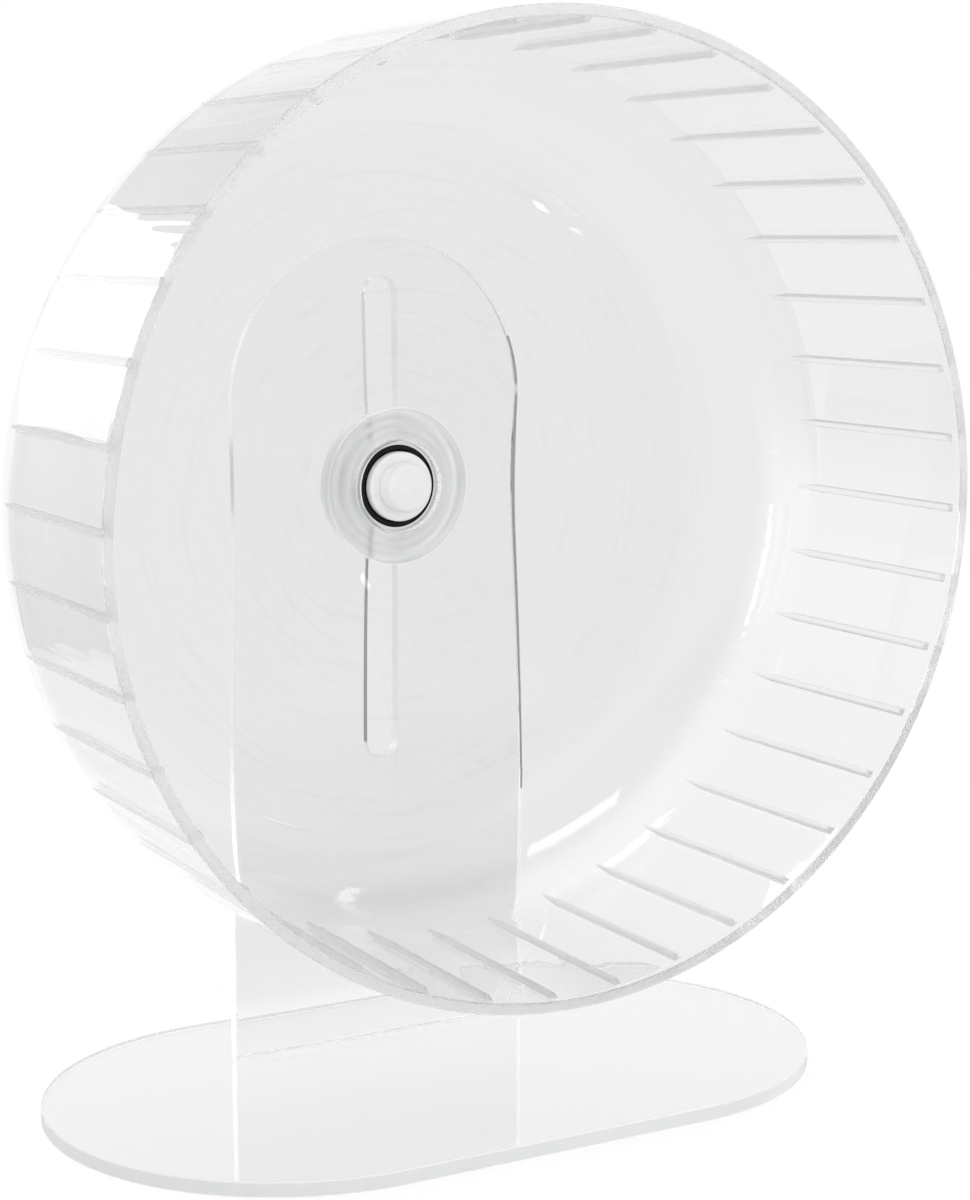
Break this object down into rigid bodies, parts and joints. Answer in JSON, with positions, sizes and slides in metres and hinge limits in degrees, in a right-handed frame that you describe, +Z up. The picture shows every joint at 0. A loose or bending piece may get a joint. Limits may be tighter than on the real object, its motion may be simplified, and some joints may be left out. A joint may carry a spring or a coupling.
{
  "type": "hamster wheel",
  "caption": "Clear exercise wheel for a hamster: an open ribbed drum spins on a sealed ball bearing, its axle clamped in a slot of a glued plate stand.",
  "frame": {"origin": "middle of the base plate's underside", "axes": "+Z up, +X across the wheel, -Y towards the open side of the drum; the wheel's axle lies along Y"},
  "size_m": [0.21, 0.1165, 0.2431],
  "materials": {
    "clear_stand": "clear polished acrylic sheet",
    "clear_drum": "clear moulded plastic, glossy",
    "clear_hub": "clear plastic, turned",
    "steel": "bright steel",
    "black_seal": "black rubber",
    "cage_plastic": "natural nylon",
    "white_cap": "white plastic, soft gloss"
  },
  "bodies": {
    "stand": {"base_plate": "clear_stand", "post": "clear_stand"},
    "axle": {"axle_bolt": "steel", "axle_cap": "white_cap", "bearing_inner_ring": "steel", "spacer_sleeve": "steel", "rear_washer": "steel"},
    "wheel": {"drum": "clear_drum", "hub_ring": "clear_hub", "bearing_outer_ring": "steel", "front_seal": "black_seal", "rear_seal": "black_seal"},
    "ball_set": {"ball_cage": "cage_plastic", "ball_1": "steel", "ball_2": "steel", "ball_3": "steel", "ball_4": "steel", "ball_5": "steel", "ball_6": "steel", "ball_7": "steel"},
    "nut": {"lock_nut": "steel"}
  },
  "joints": [
    {"name": "height_slide", "type": "slide", "parent": "stand", "child": "axle", "axis": [0, 0, 1], "range_m": [-0.027, 0.045]},
    {"name": "wheel_spin", "type": "hinge", "parent": "axle", "child": "wheel", "pos_m": [0, 0.0182, 0.1381], "axis": [0, 1, 0], "continuous": true},
    {"name": "ball_orbit", "type": "hinge", "parent": "axle", "child": "ball_set", "pos_m": [0, 0.0214, 0.1381], "axis": [0, 1, 0], "continuous": true},
    {"name": "nut_turn", "type": "hinge", "parent": "axle", "child": "nut", "pos_m": [0, 0.0353, 0.1381], "axis": [0, 1, 0], "range_deg": [0, 360]}
  ],
  "couplings": [
    {"joint": "ball_orbit", "follows": "wheel_spin", "ratio": 0.6323}
  ]
}
